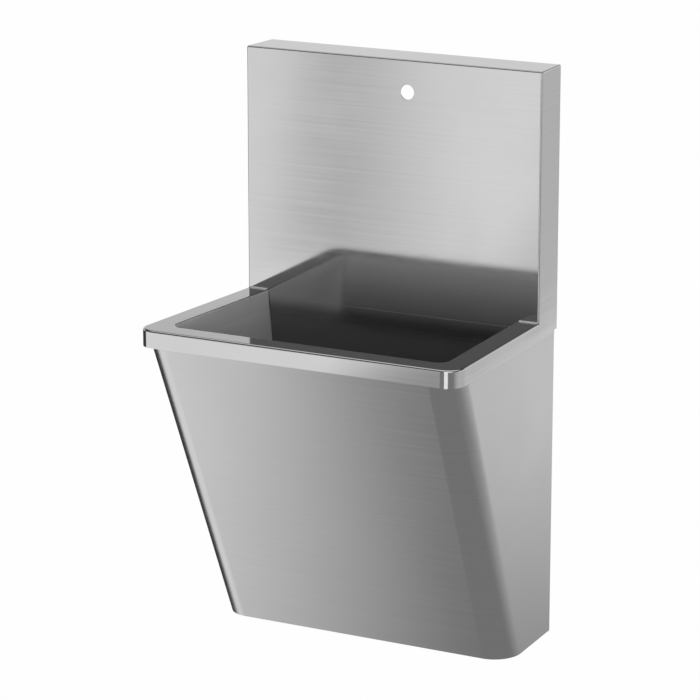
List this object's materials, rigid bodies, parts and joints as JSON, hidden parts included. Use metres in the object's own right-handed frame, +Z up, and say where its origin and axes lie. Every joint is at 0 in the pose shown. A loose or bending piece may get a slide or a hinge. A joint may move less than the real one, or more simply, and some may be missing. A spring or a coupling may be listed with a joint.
{
  "type": "surgical scrub sink",
  "caption": "Wall-hung stainless steel scrub sink with a deep tub, a tall boxed upstand with a tap hole, and a sloping apron over its waste and bottle trap.",
  "frame": {"origin": "on the wall plane, at the middle of the four wall-fixing holes and level with the rim's top", "axes": "+X to the user's right, +Y into the wall, +Z up"},
  "size_m": [0.5082, 0.364, 0.8537],
  "materials": {
    "sheet_steel": "brushed along the length of each panel",
    "apron_steel": "brushed with a coarser grain",
    "frame_steel": "mill finish",
    "polished_steel": "polished",
    "seal_rubber": "matte",
    "trap_plastic": "moulded, satin",
    "screw_steel": "turned"
  },
  "bodies": {
    "sink": {"rim": "sheet_steel", "tub": "sheet_steel", "upstand": "sheet_steel", "wall_rail": "frame_steel", "hook_rail": "frame_steel", "upright_left": "frame_steel", "upright_right": "frame_steel", "support_arm_left": "frame_steel", "support_arm_right": "frame_steel", "apron_cleat_left": "frame_steel", "apron_cleat_right": "frame_steel", "waste_body": "polished_steel", "waste_locknut": "polished_steel", "waste_upper_gasket": "seal_rubber", "waste_lower_gasket": "seal_rubber", "trap_inlet_washer": "seal_rubber", "trap_neck_seal": "seal_rubber", "trap_outlet_seal": "seal_rubber", "trap_inlet_nut": "trap_plastic", "trap_inlet_tube": "trap_plastic", "trap_neck_nut": "trap_plastic", "trap_body": "trap_plastic", "trap_outlet_nut": "trap_plastic", "outlet_pipe": "trap_plastic"},
    "apron": {"apron": "apron_steel", "apron_screws": "screw_steel"},
    "strainer": {"strainer": "polished_steel"},
    "cup_seal": {"trap_cup_seal": "seal_rubber"},
    "cup": {"trap_cup": "trap_plastic"}
  },
  "joints": [
    {"name": "apron_drop", "type": "slide", "parent": "sink", "child": "apron", "axis": [0, 0, -1], "range_m": [0, 0.5]},
    {"name": "strainer_lift", "type": "slide", "parent": "sink", "child": "strainer", "axis": [0, 0, 1], "range_m": [0, 0.3]},
    {"name": "cup_drop", "type": "slide", "parent": "sink", "child": "cup_seal", "axis": [0, 0, -1], "range_m": [0, 0.0121]},
    {"name": "cup_turn", "type": "hinge", "parent": "cup_seal", "child": "cup", "pos_m": [0, -0.128, -0.42], "axis": [0, 0, -1], "range_deg": [0, 1080]}
  ],
  "couplings": [
    {"joint": "cup_drop", "follows": "cup_turn", "m_per_rad": 0.00063662}
  ]
}
